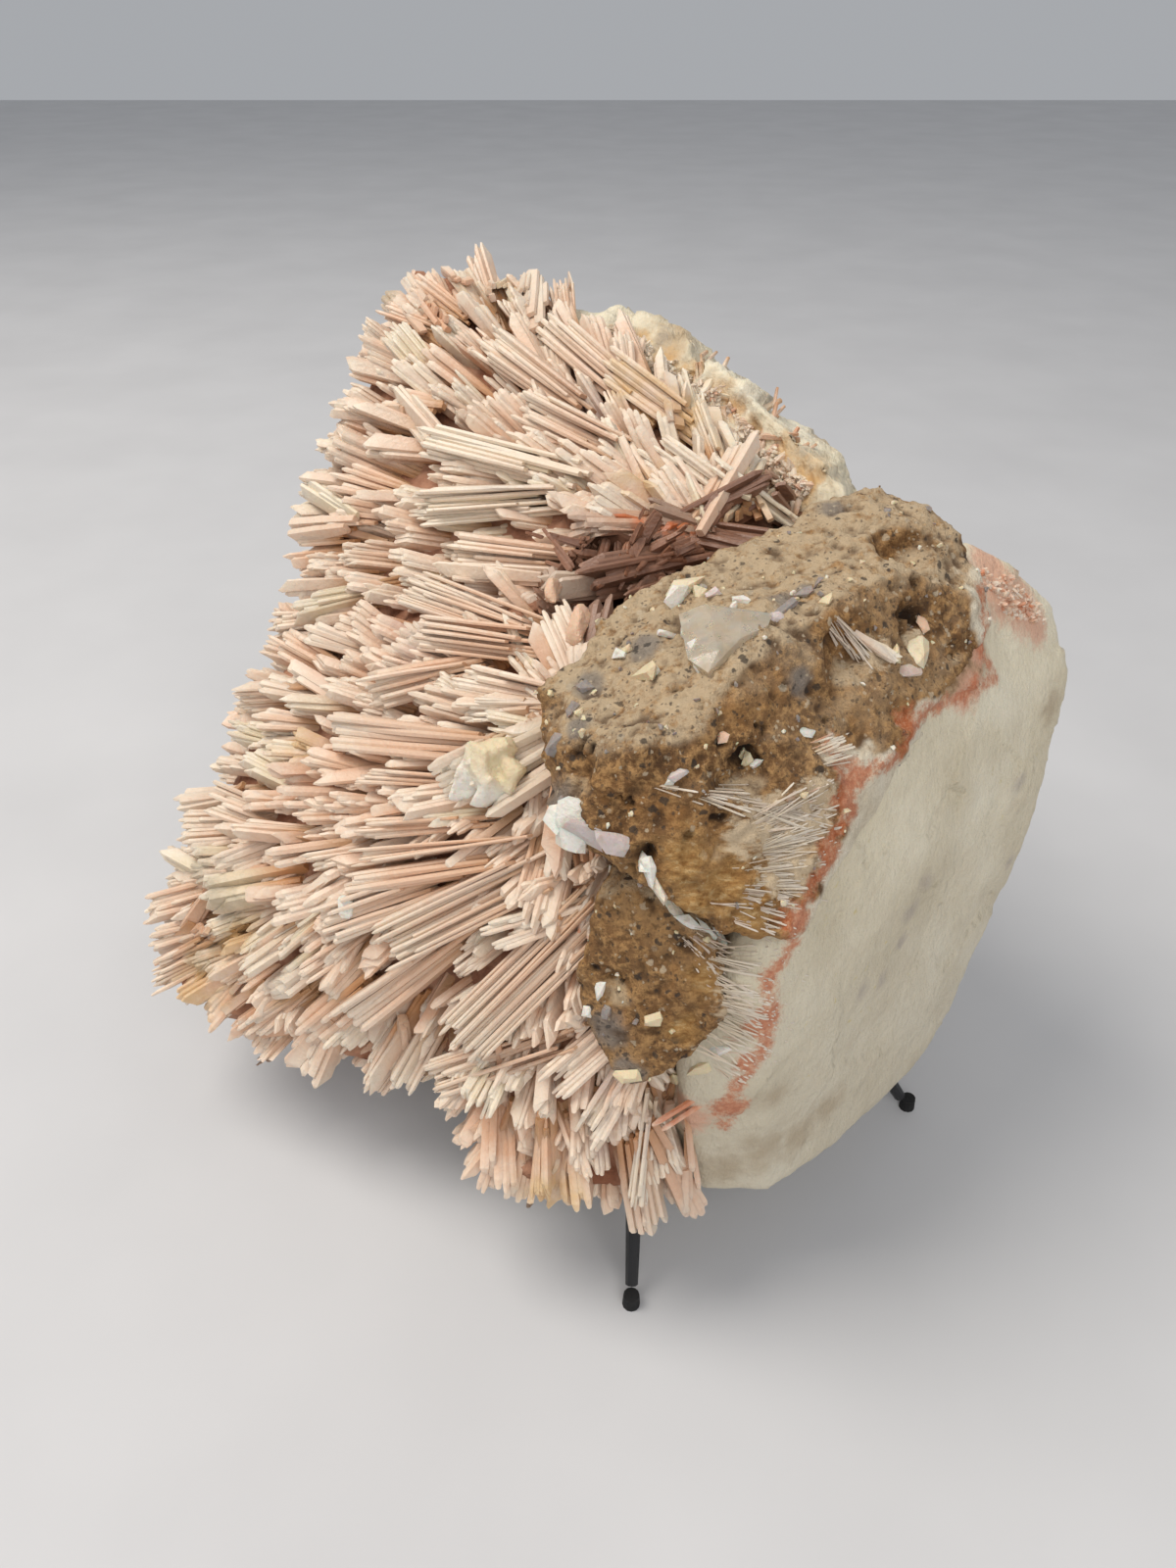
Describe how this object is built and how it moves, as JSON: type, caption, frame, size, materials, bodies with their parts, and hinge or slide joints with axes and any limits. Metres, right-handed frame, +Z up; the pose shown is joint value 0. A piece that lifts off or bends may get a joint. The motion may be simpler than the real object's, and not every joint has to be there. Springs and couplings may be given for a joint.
{
  "type": "stilbite cluster on mordenite with a wire ring stand",
  "caption": "Pink bladed stilbite crystals fanning from a white mordenite mass with brown host rock on one corner, resting on a black wire ring stand.",
  "frame": {"origin": "on the ground, under the middle of the whole object's box", "axes": "+Z up, front towards -Y: the rock corner and the nearest foot face the front, the crystals fan towards -X, the smooth white face towards +X"},
  "size_m": [0.1619, 0.1555, 0.1345],
  "materials": {
    "mordenite": "matt, fine fibrous white",
    "host_rock": "rough, pitted brown",
    "stilbite": "pearly, pale peach to cream",
    "black_paint": "satin black",
    "black_rubber": "matt black"
  },
  "bodies": {
    "root": {"mordenite_mass": "mordenite", "matrix_rock": "host_rock", "stilbite_cluster": "stilbite", "stand_ring": "black_paint", "stand_leg_front": "black_paint", "stand_leg_right": "black_paint", "stand_leg_back": "black_paint", "stand_leg_left": "black_paint", "foot_cap_front": "black_rubber", "foot_cap_right": "black_rubber", "foot_cap_back": "black_rubber", "foot_cap_left": "black_rubber"}
  },
  "joints": []
}
